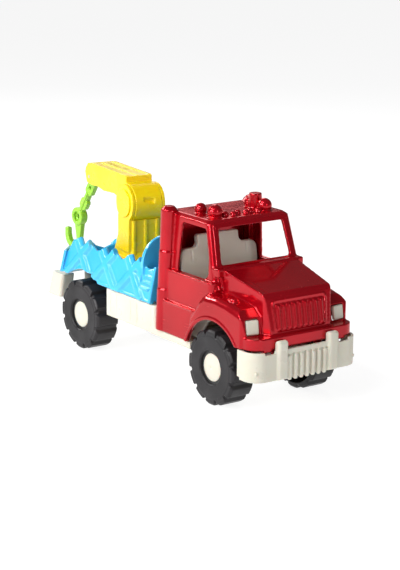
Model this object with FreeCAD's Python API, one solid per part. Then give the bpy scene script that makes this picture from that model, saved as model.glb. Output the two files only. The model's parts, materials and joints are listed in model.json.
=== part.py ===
import FreeCAD, Part

import math
import os

V = FreeCAD.Vector
os.makedirs("parts", exist_ok=True)

# Toy tow truck, millimetres. +X is forward, +Y is the truck's left, +Z is up, and the ground is z = 0.

# ---- overall sizes ---------------------------------------------------------------------------
wheelbase = 256.0
tyre_radius = 40.0
tyre_width = 29.4
track_over_tyres = 138.0        # outer face to outer face of the tyres
wall = 3.0                      # moulded wall thickness
gap = 0.3                       # clearance between separate mouldings
run_gap = 0.05                  # radial clearance of a shaft that turns in its hole
front_axle_x = wheelbase / 2
rear_axle_x = -wheelbase / 2

# ---- wheels and axles ------------------------------------------------------------------------
axle_radius = 3.0
lug_height = 3.0
lug_count = 12
lug_foot = 15.0                 # length of a lug where it leaves the tread
lug_crown = 9.0                 # length of a lug at its top
tyre_shoulder = 4.0             # bevel between tread and sidewall
tyre_wall = 3.5
tyre_bead = 1.5                 # rounding of the tyre's outer bore edge
tyre_inner_bevel = 2.0
lug_bevel = 2.5
lug_buried = 1.5                # how deep a lug is sunk into the carcass
lug_inset = 0.3                 # how far a lug stays inside the tyre's two side planes
core_radius = 17.5
core_recess = 3.5               # how far the wheel core sits inside the tyre's outer face
core_disc = 4.0
hub_wall = 4.0
hubcap_radius = 14.7
hubcap_seat = 1.0               # depth of the pocket that the hubcap is pressed into
hubcap_rim = 1.5
hubcap_dome = 3.3
dimple_radius = 4.5
dimple_depth = 0.8

# ---- chassis ---------------------------------------------------------------------------------
spine_half_width = 35.0
spine_bottom = 48.0
spine_top = 57.0
bearing_drop = 8.0              # how far the axle bearing blocks reach below the axle
bumper_front = front_axle_x + 74.0
bumper_half_width = 69.0
bumper_bottom = 40.0
bumper_top = 71.0
bumper_corner = 16.0
bumper_wrap = front_axle_x + 46.0             # X where the wrapped bumper sides end
fender_front_floor = front_axle_x + 50.0      # X where the floor behind the bumper starts
post_y = 32.7
post_width = 13.0
post_top = 81.0
bumper_rib_count = 7
bumper_rib_pitch = 7.5
bumper_rib_radius = 2.5
bumper_rib_top = 66.0
bumper_rib_recess = 2.2         # depth of the recess that the ribs stand in
bumper_notch = (41.0, 54.0)     # from and to, across the truck, where the bumper's top edge dips
bumper_notch_depth = 3.0
post_round = 3.4
post_proud = 3.0
skirt_rear = rear_axle_x + 53.0
skirt_front = front_axle_x - 106.0
skirt_bottom = 51.0
skirt_top = 81.7
skirt_half_width = 65.5
skirt_groove_pitch = 13.5
skirt_groove_half = 0.8         # half the width of a groove
skirt_groove_depth = 1.2
skirt_round = 4.0
tail_round = 4.0
bearing_half_length = 11.0
bearing_round = 3.0
sill_front = front_axle_x - 40.0
sill_top = 57.5
tail_rear = rear_axle_x - 79.0
tail_front = rear_axle_x - 50.0
tail_half_width = 64.0
tail_top = 77.0

# ---- cab -------------------------------------------------------------------------------------
cab_rear = front_axle_x - 106.0
cab_floor = 60.0                # underside of the cab's screw bosses
cab_bottom = 58.0
cab_lower_half_width = 67.0
cab_ledge = 93.0
cab_upper_half_width = 62.5
cab_sill = 126.0
glass_half_width_low = 57.5
glass_half_width_high = 52.5
roof_edge = 184.0
roof_top = 187.0
screen_low_x = front_axle_x - 6.5            # front of the greenhouse at the sill
screen_high_x = front_axle_x - 25.5           # front of the greenhouse at the roof edge
hood_half_width_rear = 50.0
hood_half_width_front = 43.5
hood_rear_top = 140.5
hood_front_top = 125.5
hood_front_x = front_axle_x + 55.0
nose_bottom_x = front_axle_x + 62.5
fender_half_width = 69.0
fender_inner = 37.0
arch_radius = 48.5
arch_x_offset = 3.0             # arch centre ahead of the axle
arch_z = 42.0
ledge_front = front_axle_x + 69.5
ledge_bottom = 72.0
ledge_top = 84.0
fender_round = 8.0
window_low = 126.5
window_high = 178.5
grille_rib_count = 9
grille_height = 32.0
grille_half_low = 32.5
grille_half_high = 35.5
grille_border = 1.6
grille_corner = 5.0
grille_proud = 1.1
grille_head_room = 3.2          # between the ribs' heads and the frame
marker_radius = 5.0             # teardrop marker lamp on each fender
marker_x = front_axle_x + 25.0
marker_y = 57.0
marker_z = 112.8
cowl_top = 141.0                # ledge across the foot of the windshield
cowl_front = front_axle_x - 4.5
cowl_half_width = 55.5
bead_radius = 1.0               # thin beads along the door
stack_x = front_axle_x - 96.0
stack_y_low = 59.0
stack_y_high = 54.0
stack_radius = 9.0
stack_step = 0.7                # growth of the stack at each ring
stack_bottom = 58.0
stack_top = 192.5
lamp_radius = 8.0
lamp_x = front_axle_x - 44.0
lamp_y = 32.4
rear_lamp_radius = 6.5
rear_lamp_x = front_axle_x - 69.5
beacon_x = front_axle_x - 60.0
beacon_top = 203.0
beacon_radius = 8.0
beacon_taper = 1.2
lamp_rise = 5.0                 # height of a front lamp's centre above the roof
rear_lamp_rise = 4.0
roof_bump_count = 6
roof_bump_pitch = 8.0
roof_bump_radius = 3.8
roof_bump_rise = 1.2
roof_bump_stagger = 2.0         # every other bump lies this much ahead of or behind the row

# ---- headlights ------------------------------------------------------------------------------
headlight_y = 56.2
headlight_width = 14.5
headlight_height = 15.5
headlight_low = 85.2
headlight_depth = 4.0
headlight_round = 1.6
headlight_lean = 8.0
headlight_sweep = 10.0
headlight_fit = 0.15            # clearance of a headlight in its hole
headlight_gap = 2.0             # open joint between the lamp and the side of the hood
seat_front = front_axle_x - 77.0               # front of the backrest at the height of the sill
seat_half_width = 50.5
seat_shoulder = 147.5
seat_crown = 161.0
seat_crown_half_width = 27.0
seat_thickness = 8.0
seat_lean = 8.0
tub_front = front_axle_x - 25.0
tub_top = 123.0
tub_floor = 85.0
cushion_top = 91.0
cushion_front = tub_front - 16.0
cushion_round = 4.0
seat_shoulder_round = 9.0
seat_crown_round = 3.0
seat_step_round = 6.0           # hollow between shoulder and crown
seat_edge_round = 1.5

# ---- bed -------------------------------------------------------------------------------------
bed_rear = rear_axle_x - 62.0
bed_front = front_axle_x - 114.0
bed_bottom = 82.5
bed_floor = 88.0
bed_half_width_low = 68.5
bed_half_width_high = 59.5
bed_wall_top = 124.5
bed_rear_chamfer = 16.0
strap_width = 13.0
strap_crown = 6.8               # width of a strap's flat top
strap_proud = 3.4
strap_inside = 0.8              # how far a strap shows on the inside of the wall
strap_run = 38.0                # horizontal distance from a strap's head to its foot
first_peak = rear_axle_x - 20.0             # X of the rearmost strap's head
peak_pitch = (bed_front - 31.0 - first_peak) / 5
peak_drops = [0.0, 0.0, 3.0, 0.0, 0.0, 0.0]
valley_depth = 5.0              # how far the top edge dips between the straps
tail_height = 26.0
bed_lip = 1.0
bed_arch_radius = 54.5
bed_arch_x = rear_axle_x + 4.0
bed_arch_z = 38.0
step_count = 4
step_rise = 6.6
step_low = 96.0                 # height of the lowest tread
step_rear = front_axle_x - 139.0
step_length = 17.0
step_shift = 3.8                # how far each tread lies ahead of the one below
step_height = 2.8
step_proud = 2.4
headboard_x = front_axle_x - 140.0
headboard_half_width = 61.0
headboard_top = 150.5
headboard_corner = 29.0
headboard_thickness = 4.0
bed_front_top = 121.0
pedestal_radius = 30.0
pedestal_top = 100.0

# ---- crane -----------------------------------------------------------------------------------
crane_x = rear_axle_x + 25.0
crane_yaw = -7.0                # degrees; the nose points back and a little to the truck's left
column_half_width = 16.5
column_front = 11.0
column_rear = -24.0
foot_rear = -38.0
foot_height = 12.0
rib_half = 1.8                  # half-width of the ribs on the column
rib_proud = 1.6
spigot_radius = 12.0
retainer_radius = 18.0
retainer_thickness = 4.0
elbow_x = -2.0
elbow_z = 168.0
drum_radius = 22.0
ear_thickness = 4.0
boom_half_width = 16.5
boom_top = 197.0
boom_tip = -117.0
boom_wall = 2.8
nose_mouth_top = 191.5          # top of the mouth in the boom's nose, where the hook swings out
slot_radius = 3.0
ridge_half = 2.4                # half-width of the ridges on the boom
ridge_proud = 1.2
cap_radius = 16.0
cap_height = 1.8
cap_round = 0.8
boom_pin_radius = 4.0
hook_pin_x = -106.0
hook_pin_z = 181.0
hook_pin_radius = 2.0
hook_hole_radius = 3.2
hook_offset = -6.0              # the hook has slid along its pin, away from the boom's centre
hook_twist = 10.0               # degrees, how far the loose hook has turned on its pin
hook_thickness = 6.0
hook_lean = 34.0                # degrees, backward lean of the strap from vertical
strap_length = 66.0             # pin to pulley centre
pulley_radius = 11.0
pulley_eye = 6.0
pulley_proud = 2.0              # how far the pulley's rims stand out from the strap
link_half = 6.5                 # half-width of the strap's links
link_round = 4.0
link_hole = 2.6
link_top = 6.0                  # heights on the strap, measured from the pin
link_low = -29.0
link_hole_z = -19.0
link_two_top = -38.0
link_two_low = -52.0
shank_length = 26.0             # from the pulley's centre to the middle of the hook
tip_height = 9.0
tip_round = 2.0
hook_throat = 8.5               # inner radius of the hook
hook_bar = 7.0

# ---- screws ----------------------------------------------------------------------------------
screw_radius = 1.5
screw_head_radius = 3.4
screw_head_height = 2.2
screw_depth = 9.0
screw_boss_wall = 3.0
screw_slot_half_length = 1.8
screw_slot_half_width = 0.4
screw_fit = 0.2                 # clearance of a screw in the part that it passes through
screw_row_y = (26.0, -26.0)
bed_screw_x = (rear_axle_x + 76.0, rear_axle_x - 48.0)
cab_screw_x = (cab_rear + 9.0, hood_front_x)
bed_screw_places = [(x, y) for x in bed_screw_x for y in screw_row_y]
cab_screw_places = [(x, y + math.copysign(2, y)) for x in cab_screw_x for y in screw_row_y]

# ---- sizes that follow -----------------------------------------------------------------------
tyre_outer_y = track_over_tyres / 2
tyre_inner_y = tyre_outer_y - tyre_width
axle_end_y = tyre_outer_y - core_recess - core_disc + 1
drum_half_width = boom_half_width
ear_inner = drum_half_width + gap
ear_outer = ear_inner + ear_thickness


# ---- building blocks -------------------------------------------------------------------------
def block(x0, x1, y0, y1, z0, z1):
    return Part.makeBox(x1 - x0, y1 - y0, z1 - z0, V(x0, y0, z0))


def rod(radius, start, end):
    axis = end - start
    return Part.makeCylinder(radius, axis.Length, start, axis)


def capsule(radius, x, y, low, high):
    """An upright round bar with domed ends, from height low to height high."""
    foot, head = low + radius, high - radius
    bulge = radius * math.sqrt(0.5)
    outline = [Part.Arc(V(x, y, low), V(x + bulge, y, foot - bulge), V(x + radius, y, foot)).toShape(),
               Part.makeLine(V(x + radius, y, foot), V(x + radius, y, head)),
               Part.Arc(V(x + radius, y, head), V(x + bulge, y, head + bulge), V(x, y, high)).toShape(),
               Part.makeLine(V(x, y, high), V(x, y, low))]
    return Part.Face(Part.Wire(outline)).revolve(V(x, y, 0), V(0, 0, 1), 360)


def face_of(points):
    return Part.Face(Part.makePolygon([V(*p) for p in points] + [V(*points[0])]))


def side_prism(outline, y0, y1):
    """A prism whose outline is drawn in X and Z."""
    return face_of([(x, y0, z) for x, z in outline]).extrude(V(0, y1 - y0, 0))


def front_prism(outline, x0, x1):
    """A prism whose outline is drawn in Y and Z."""
    return face_of([(x0, y, z) for y, z in outline]).extrude(V(x1 - x0, 0, 0))


def plan_prism(outline, z0, z1):
    """A prism whose outline is drawn in X and Y."""
    return face_of([(x, y, z0) for x, y in outline]).extrude(V(0, 0, z1 - z0))


def mirrored(shape):
    return shape.mirror(V(0, 0, 0), V(0, 1, 0))


def union(shapes):
    result = shapes[0]
    if len(shapes) > 1:
        result = result.fuse(shapes[1:])
    return result.removeSplitter()


def rounded(shape, radius, pick):
    """Fillet the edges that pick accepts, judged by each edge's middle point and direction."""
    chosen = []
    for edge in shape.Edges:
        middle = edge.CenterOfMass
        span = edge.Vertexes[-1].Point - edge.Vertexes[0].Point
        heading = span / span.Length if span.Length > 0.1 else V(0, 0, 0)
        if edge.Length > 0.1 and pick(middle, heading):
            chosen.append(edge)
    return shape.makeFillet(radius, chosen) if chosen else shape


def rectangle(x0, x1, half_width, z, corner):
    """A closed wire in a level plane: a rectangle with round corners."""
    box = Part.makeBox(x1 - x0, 2 * half_width, 1, V(x0, -half_width, z))
    uprights = [e for e in box.Edges if abs(e.Vertexes[0].Point.z - e.Vertexes[1].Point.z) > 0.5]
    box = box.makeFillet(corner, uprights)
    bottom = [f for f in box.Faces if abs(f.CenterOfMass.z - z) < 1e-6][0]
    return bottom.OuterWire


def loft(wires):
    return Part.makeLoft(wires, True, True)


nodes = {}


def save(name, shape):
    """Keep a finished node; all are written together at the end."""
    if not shape.isValid():
        raise ValueError(name + " is not a valid solid")
    nodes[name] = shape


def write_all():
    """Write every node with the origin on the ground, at the middle of the overall length."""
    boxes = [shape.optimalBoundingBox(False) for shape in nodes.values()]
    middle = (max(box.XMax for box in boxes) + min(box.XMin for box in boxes)) / 2
    print("origin_shift", round(-middle, 4))
    for name, shape in nodes.items():
        shape.translate(V(-middle, 0, 0))
        shape.exportStep("parts/" + name + ".step")


# ---- wheels ----------------------------------------------------------------------------------
def tyre(x, side):
    """One tyre, hollow from the inboard side, with low chunky lugs across its tread."""
    base = tyre_radius - lug_height
    inside = base - tyre_wall
    sleeve = core_radius + tyre_wall
    sleeve_end = tyre_inner_y + wall
    profile = [(tyre_outer_y - tyre_bead, core_radius), (tyre_outer_y, core_radius + tyre_bead),
               (tyre_outer_y, base - tyre_shoulder), (tyre_outer_y - tyre_shoulder, base),
               (tyre_inner_y + tyre_inner_bevel, base), (tyre_inner_y, base - tyre_inner_bevel),
               (tyre_inner_y, inside), (tyre_outer_y - tyre_wall, inside),
               (tyre_outer_y - tyre_wall, sleeve), (sleeve_end, sleeve), (sleeve_end, core_radius)]
    carcass = face_of([(0, y, r) for y, r in profile]).revolve(V(0, 0, 0), V(0, 1, 0), 360)
    foot = base - tyre_shoulder - 2
    near = tyre_inner_y + lug_inset
    far = tyre_outer_y - lug_inset
    envelope = [(near, base - lug_buried), (near, tyre_radius - lug_bevel),
                (tyre_inner_y + lug_bevel, tyre_radius), (tyre_outer_y - lug_bevel, tyre_radius),
                (far, tyre_radius - lug_bevel), (far, foot), (far - lug_bevel, foot),
                (tyre_outer_y - tyre_shoulder - 2, base - lug_buried)]
    envelope = face_of([(0, y, r) for y, r in envelope]).revolve(V(0, 0, 0), V(0, 1, 0), 360)
    lug_outline = [(-lug_foot / 2, base - tyre_shoulder - 4), (lug_foot / 2, base - tyre_shoulder - 4),
                   (lug_foot / 2, base - 0.5), (lug_crown / 2, tyre_radius + 1),
                   (-lug_crown / 2, tyre_radius + 1), (-lug_foot / 2, base - 0.5)]
    lugs = []
    for index in range(lug_count):
        lug = side_prism(lug_outline, tyre_inner_y, tyre_outer_y)
        lug.rotate(V(0, 0, 0), V(0, 1, 0), 360 / lug_count * index)
        lugs.append(lug.common(envelope))
    shape = union([carcass] + lugs)
    shape.translate(V(x, 0, tyre_radius))
    return shape if side > 0 else mirrored(shape)


def wheel_core(x, side):
    """The disc, hub and rim inside a tyre: it grips the axle and carries the hubcap."""
    outer = tyre_outer_y - core_recess
    inner = tyre_inner_y + 2
    disc = rod(core_radius, V(x, outer - core_disc, tyre_radius), V(x, outer, tyre_radius))
    hub = rod(axle_radius + hub_wall, V(x, tyre_inner_y + 1, tyre_radius), V(x, outer, tyre_radius))
    rim = rod(core_radius, V(x, inner, tyre_radius), V(x, outer, tyre_radius))
    rim = rim.cut(rod(core_radius - 2, V(x, inner - 1, tyre_radius), V(x, outer, tyre_radius)))
    shape = union([disc, hub, rim])
    shape = shape.cut(rod(hubcap_radius + 0.1, V(x, outer - hubcap_seat, tyre_radius),
                          V(x, outer + 1, tyre_radius)))
    shape = shape.cut(rod(axle_radius, V(x, 0, tyre_radius), V(x, axle_end_y, tyre_radius)))
    return shape if side > 0 else mirrored(shape)


def hubcap(x, side):
    """A slightly domed ivory cap with a small dimple at its centre."""
    base = tyre_outer_y - core_recess - hubcap_seat
    rise = hubcap_dome - hubcap_rim
    cap = rod(hubcap_radius, V(x, base, tyre_radius), V(x, base + hubcap_rim, tyre_radius))
    sphere_radius = (hubcap_radius ** 2 + rise ** 2) / (2 * rise)
    dome = Part.makeSphere(sphere_radius, V(x, base + hubcap_dome - sphere_radius, tyre_radius))
    dome = dome.common(rod(hubcap_radius, V(x, base + hubcap_rim - 0.1, tyre_radius),
                           V(x, base + 2 * hubcap_dome, tyre_radius)))
    cap = cap.fuse(dome).removeSplitter()
    dimple_y = base + hubcap_dome + dimple_radius - dimple_depth
    cap = cap.cut(Part.makeSphere(dimple_radius, V(x, dimple_y, tyre_radius)))
    return cap if side > 0 else mirrored(cap)


def axle(x):
    return rod(axle_radius, V(x, -axle_end_y, tyre_radius), V(x, axle_end_y, tyre_radius))


# ---- chassis ---------------------------------------------------------------------------------
def bumper():
    """The front bumper: a U-shaped moulding with two posts and a row of round ribs between them."""
    rear = bumper_wrap - bumper_corner
    outer = rectangle(rear, bumper_front, bumper_half_width, bumper_bottom, bumper_corner)
    height = V(0, 0, bumper_top - bumper_bottom)
    shell = Part.Face(outer).extrude(height)
    hollow = rectangle(rear, bumper_front - wall, bumper_half_width - wall, bumper_bottom + wall,
                       bumper_corner - wall)
    shell = shell.cut(Part.Face(hollow).extrude(height))
    shell = shell.common(block(bumper_wrap, bumper_front + 9, -80, 80, 0, 100))
    shell = shell.cut(block(0, fender_front_floor, -80, 80, 0, bumper_bottom + wall))
    between_posts = post_y - post_width / 2
    recess_floor = bumper_front - bumper_rib_recess
    recess = block(recess_floor, bumper_front + 1, -between_posts, between_posts, bumper_bottom - 1,
                   bumper_rib_top)
    backing = block(recess_floor - wall, recess_floor, -between_posts - 1, between_posts + 1,
                    bumper_bottom, bumper_rib_top + wall)
    shell = shell.fuse(backing).cut(recess)
    pieces = []
    for side in (-1, 1):
        near, far = sorted((side * bumper_notch[0], side * bumper_notch[1]))
        shell = shell.cut(block(bumper_front - 2 * wall, bumper_front + 1, near, far,
                                bumper_top - bumper_notch_depth, bumper_top + 1))
        y = side * post_y
        post = block(ledge_front + gap, bumper_front + post_proud, y - post_width / 2, y + post_width / 2,
                     bumper_bottom, post_top)
        pieces.append(rounded(post, post_round, lambda m, d: m.x > bumper_front or m.z > post_top - 1))
    for index in range(bumper_rib_count):
        y = (index - (bumper_rib_count - 1) / 2) * bumper_rib_pitch
        pieces.append(capsule(bumper_rib_radius, bumper_front - 0.9, y, bumper_bottom - 2,
                              bumper_rib_top - 0.7))
    return [shell] + pieces


def skirt(side):
    """The grooved panel below the bed, with a rounded front end."""
    high, low = skirt_half_width, skirt_half_width - 2 * wall
    panel = block(skirt_rear, skirt_front, low, high, skirt_bottom, skirt_top)
    panel = rounded(panel, skirt_round,
                    lambda m, d: abs(d.z) > 0.9 and m.x > skirt_front - 1 and m.y > low + 1)
    count = int((skirt_front - skirt_rear) / skirt_groove_pitch)
    for index in range(count + 1):
        x = skirt_rear + 8 + index * skirt_groove_pitch
        if x < skirt_front - 5:
            panel = panel.cut(block(x - skirt_groove_half, x + skirt_groove_half,
                                    high - skirt_groove_depth, high + 1, skirt_bottom + 4, skirt_top - 4))
    return panel if side > 0 else mirrored(panel)


def tail_block(side):
    """The flared block behind a rear wheel."""
    outline = [(tail_rear, 49), (tail_front, 49), (tail_front + 6, tail_top), (tail_rear + 10, tail_top)]
    solid = side_prism(outline, tail_half_width - 16, tail_half_width)
    solid = rounded(solid, tail_round, lambda m, d: m.y > tail_half_width - 1 and abs(d.z) > 0.6)
    return solid if side > 0 else mirrored(solid)


def chassis():
    spine = block(tail_rear + 4, bumper_front - wall - 1, -spine_half_width, spine_half_width,
                  spine_bottom, spine_top)
    lightening = block(rear_axle_x + 28, front_axle_x - 28, -spine_half_width + wall,
                       spine_half_width - wall,
                       spine_bottom - 1, spine_top - wall)
    spine = spine.cut(lightening)
    pieces = [spine]
    deck = block(skirt_rear, sill_front - 16, -skirt_half_width, skirt_half_width,
                 skirt_bottom, skirt_bottom + wall)
    pieces.append(deck)
    for side in (-1, 1):
        y = sorted((side * (skirt_half_width - wall), side * (skirt_half_width + 0.5)))
        sill = block(skirt_front - 8, sill_front, y[0], y[1], skirt_bottom - 1, sill_top)
        pieces += [sill, skirt(side), tail_block(side)]
        y = sorted((side * (spine_half_width - 2 * wall), side * spine_half_width))
        for x in (front_axle_x, rear_axle_x):
            bearing = block(x - bearing_half_length, x + bearing_half_length, y[0], y[1],
                            tyre_radius - bearing_drop, spine_top)
            pieces.append(rounded(bearing, bearing_round,
                                  lambda m, d: m.z < tyre_radius and abs(d.y) > 0.9))
    pieces.append(block(tail_rear, tail_rear + 2 * wall, -tail_half_width + 4, tail_half_width - 4,
                        spine_bottom + 1, spine_top + 1))
    front_floor = block(fender_front_floor, bumper_front - 2, -bumper_half_width + 5,
                        bumper_half_width - 5, spine_bottom, spine_bottom + wall)
    pieces.append(front_floor)
    pieces += bumper()
    post_radius = screw_radius + screw_boss_wall + 0.5
    for x, y in bed_screw_places:
        pieces.append(rod(post_radius, V(x, y, spine_bottom), V(x, y, bed_bottom - gap)))
    for x, y in cab_screw_places:
        pieces.append(rod(post_radius, V(x, y, spine_bottom), V(x, y, cab_floor - gap)))
    shape = union(pieces)
    for x, y in bed_screw_places + cab_screw_places:
        shape = shape.cut(rod(screw_radius + screw_fit, V(x, y, 0), V(x, y, 100)))
        shape = shape.cut(rod(screw_head_radius + screw_fit, V(x, y, 0),
                              V(x, y, spine_bottom + screw_head_height + 0.5)))
    for x in (front_axle_x, rear_axle_x):
        shape = shape.cut(rod(axle_radius + run_gap, V(x, -60, tyre_radius), V(x, 60, tyre_radius)))
    return shape.removeSplitter()


# ---- cab -------------------------------------------------------------------------------------
def cab_tiers(inset):
    """The stepped cab body without hood or fenders, drawn in by inset."""
    rear = cab_rear + inset
    corner = max(6 - inset, 1.5)
    front_low = front_axle_x - 20 - inset
    front_sill = screen_low_x - 2 - inset
    glass_low = rectangle(rear, screen_low_x - inset, glass_half_width_low - inset, cab_sill - 8, corner)
    glass_high = rectangle(rear + 1, screen_high_x - inset, glass_half_width_high - inset,
                           roof_edge - inset, corner)
    low_half = cab_lower_half_width - inset
    mid_half = cab_upper_half_width - inset
    pieces = [loft([rectangle(rear, front_low, low_half, cab_bottom - (inset > 0), corner),
                    rectangle(rear, front_low, low_half - 0.7, cab_ledge - inset, corner)]),
              loft([rectangle(rear, front_sill, mid_half + 0.5, cab_bottom + 2, corner),
                    rectangle(rear, front_sill, mid_half - 1, cab_sill - inset, corner)]),
              loft([glass_low, glass_high])]
    if inset == 0:
        roof_step = roof_top - roof_edge
        eave = rectangle(rear + 1, screen_high_x, glass_half_width_high, roof_edge - 0.2, corner)
        crest = rectangle(rear + 1 + roof_step, screen_high_x - roof_step - 1,
                          glass_half_width_high - roof_step - 1, roof_top, corner)
        pieces.append(loft([eave, crest]))
    return pieces


def hood(inset):
    """The hood and nose: a profile in X and Z, narrowed in plan towards the grille."""
    back = screen_low_x - 25
    low = ledge_bottom + 4
    profile = [(back, low), (nose_bottom_x + 1 - inset, low), (nose_bottom_x - inset, ledge_top + 3),
               (hood_front_x + 1.5 - inset, hood_front_top - 4 - inset),
               (hood_front_x - 2 - inset, hood_front_top - inset),
               (screen_low_x - 4, hood_rear_top - inset), (back, hood_rear_top - inset)]
    chamfer = 7
    half_plan = [(back - 1, hood_half_width_rear - inset), (hood_front_x, hood_half_width_front - inset),
                 (nose_bottom_x + 3, hood_half_width_front - chamfer - inset)]
    plan = half_plan + [(x, -y) for x, y in reversed(half_plan)]
    width = 2 * hood_half_width_rear
    return side_prism(profile, -width, width).common(plan_prism(plan, 0, 200))


def fender(inset):
    """One front fender with a round outer shoulder, without its wheel arch."""
    low = cab_bottom - (inset > 0)
    outline = [(-40 + inset, low), (-36 + inset, 92), (-24 + inset, 107 - inset), (-13, 114.5 - inset),
               (7, 115.5 - inset), (27, 113.5 - inset), (43 - inset, 110 - inset),
               (51.5 - inset, 102 - inset), (55.5 - inset, 84), (56 - inset, 70), (48 - inset, low)]
    outline = [(front_axle_x + x, z) for x, z in outline]
    outer = fender_half_width - inset
    solid = side_prism(outline, fender_inner - inset, outer)
    solid = rounded(solid, fender_round - inset, lambda m, d: m.y > outer - 0.1 and m.z > 92
                    and m.x < front_axle_x + 47)
    front = hood_front_x - inset
    plan = [(cab_rear, 0), (cab_rear, 90), (front_axle_x + 28, 90),
            (front + 2, fender_half_width - 6 - inset), (front + 8, 0)]
    return solid.common(plan_prism(plan, 0, 200))


def marker_lamp():
    """The teardrop lamp on top of a fender: round in front, drawn out to the rear."""
    front = V(marker_x, marker_y, marker_z)
    rear = V(marker_x - 2.6 * marker_radius, marker_y, marker_z + 1)
    tail = Part.makeCone(marker_radius, 0.35 * marker_radius, (rear - front).Length, front, rear - front)
    return [Part.makeSphere(marker_radius, front), tail]


def front_ledge(inset):
    """The red ledge that stands out over the bumper."""
    wire = rectangle(front_axle_x + 30, ledge_front - inset, fender_half_width - 2.5 - inset,
                     ledge_bottom - (inset > 0), 14)
    slab = Part.Face(wire).extrude(V(0, 0, ledge_top - ledge_bottom - inset))
    return slab.common(block(fender_front_floor + 2, 220, -90, 90, 0, 200))


def stack(side):
    """A moulded exhaust stack at a rear cab corner, with two ring steps and a domed top."""
    low = V(stack_x, side * stack_y_low, stack_bottom)
    high = V(stack_x, side * stack_y_high, stack_top - 4)
    axis = high - low
    pieces = [rod(stack_radius, low, high)]
    for share, steps in ((0.66, 1), (0.345, 2)):
        ring = low + axis * share
        pieces.append(rod(stack_radius + steps * stack_step, low, ring))
    return pieces + [Part.makeCone(stack_radius, stack_radius - 4, 4, high, axis)]


def roof_lamps():
    """Round lamps moulded on the roof, low bumps between the front pair and one taller beacon."""
    pieces = []
    for side in (-1, 1):
        pieces.append(Part.makeSphere(lamp_radius, V(lamp_x, side * lamp_y, roof_top + lamp_rise)))
        pieces.append(Part.makeSphere(rear_lamp_radius,
                                      V(rear_lamp_x, side * lamp_y, roof_top + rear_lamp_rise)))
    for index in range(roof_bump_count):
        y = (index - (roof_bump_count - 1) / 2) * roof_bump_pitch
        x = lamp_x + wall + (roof_bump_stagger if index % 2 else -roof_bump_stagger)
        pieces.append(Part.makeSphere(roof_bump_radius, V(x, y, roof_top + roof_bump_rise)))
    foot = roof_top - wall
    pieces.append(Part.makeCone(beacon_radius, beacon_radius - beacon_taper, beacon_top - foot,
                                V(beacon_x, lamp_y, foot)))
    return pieces


def grille():
    """The raised grille frame with its upright ribs, leaning with the nose."""
    lean = math.degrees(math.atan2(nose_bottom_x - hood_front_x - 1.5, hood_front_top - ledge_top - 7))
    high = grille_height
    outline = [(-grille_half_low, 0), (grille_half_low, 0), (grille_half_high, high),
               (-grille_half_high, high)]
    frame = front_prism(outline, -wall, grille_proud)
    frame = rounded(frame, grille_corner, lambda m, d: abs(d.x) > 0.9)
    low_half = grille_half_low - grille_border
    high_half = grille_half_high - grille_border
    opening = front_prism([(-low_half, grille_border), (low_half, grille_border),
                           (high_half, high - grille_border), (-high_half, high - grille_border)], 0, 5)
    opening = rounded(opening, grille_corner - grille_border, lambda m, d: abs(d.x) > 0.9)
    pieces = [frame.cut(opening)]
    pitch = 2 * low_half / grille_rib_count
    rib_radius = 0.33 * pitch
    for index in range(grille_rib_count):
        y = (index - (grille_rib_count - 1) / 2) * pitch
        pieces.append(capsule(rib_radius, 0.25, y, 0.6, high - grille_border - grille_head_room))
    for piece in pieces:
        piece.rotate(V(0, 0, 0), V(0, 1, 0), -lean)
        piece.translate(V(nose_bottom_x - 0.3, 0, ledge_top + 3))
    return pieces


def cowl_and_beads():
    """The ledge across the foot of the windshield, and the beads along the doors."""
    ledge = block(screen_low_x - 12, cowl_front, -cowl_half_width, cowl_half_width, cowl_top - 9, cowl_top)
    ledge = rounded(ledge, 1.5, lambda m, d: m.x > cowl_front - 1 or m.z > cowl_top - 1)
    pieces = [ledge]
    for side in (-1, 1):
        upper = side * (cab_upper_half_width - 1)
        lower = side * (cab_lower_half_width - 0.7)
        pieces.append(rod(bead_radius, V(cab_rear + 20, upper, cab_sill - 0.5),
                          V(front_axle_x - 16, upper, cab_sill - 0.5)))
        pieces.append(rod(bead_radius, V(cab_rear + 20, lower, cab_ledge - 0.5),
                          V(front_axle_x - 36, lower, cab_ledge - 0.5)))
    return pieces


def cab_openings():
    """Windshield and side windows, with round corners."""
    screen = front_prism([(-45, 142), (45, 142), (41.5, 179), (-41.5, 179)], screen_high_x - 17,
                         screen_low_x + 18)
    screen = rounded(screen, 3, lambda m, d: abs(d.x) > 0.9)
    rear = cab_rear + 29
    corner = screen_low_x - 15
    side = side_prism([(rear, window_low), (corner, window_low), (corner - 1.5, 150),
                       (screen_high_x - 6, window_high), (rear + 3, window_high)], -80, 80)
    side = rounded(side, 8, lambda m, d: abs(d.y) > 0.9 and m.x > rear + 20 and m.z < window_low + 1)
    side = rounded(side, 4, lambda m, d: abs(d.y) > 0.9 and m.z > window_high - 1)
    return [screen, side]


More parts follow.
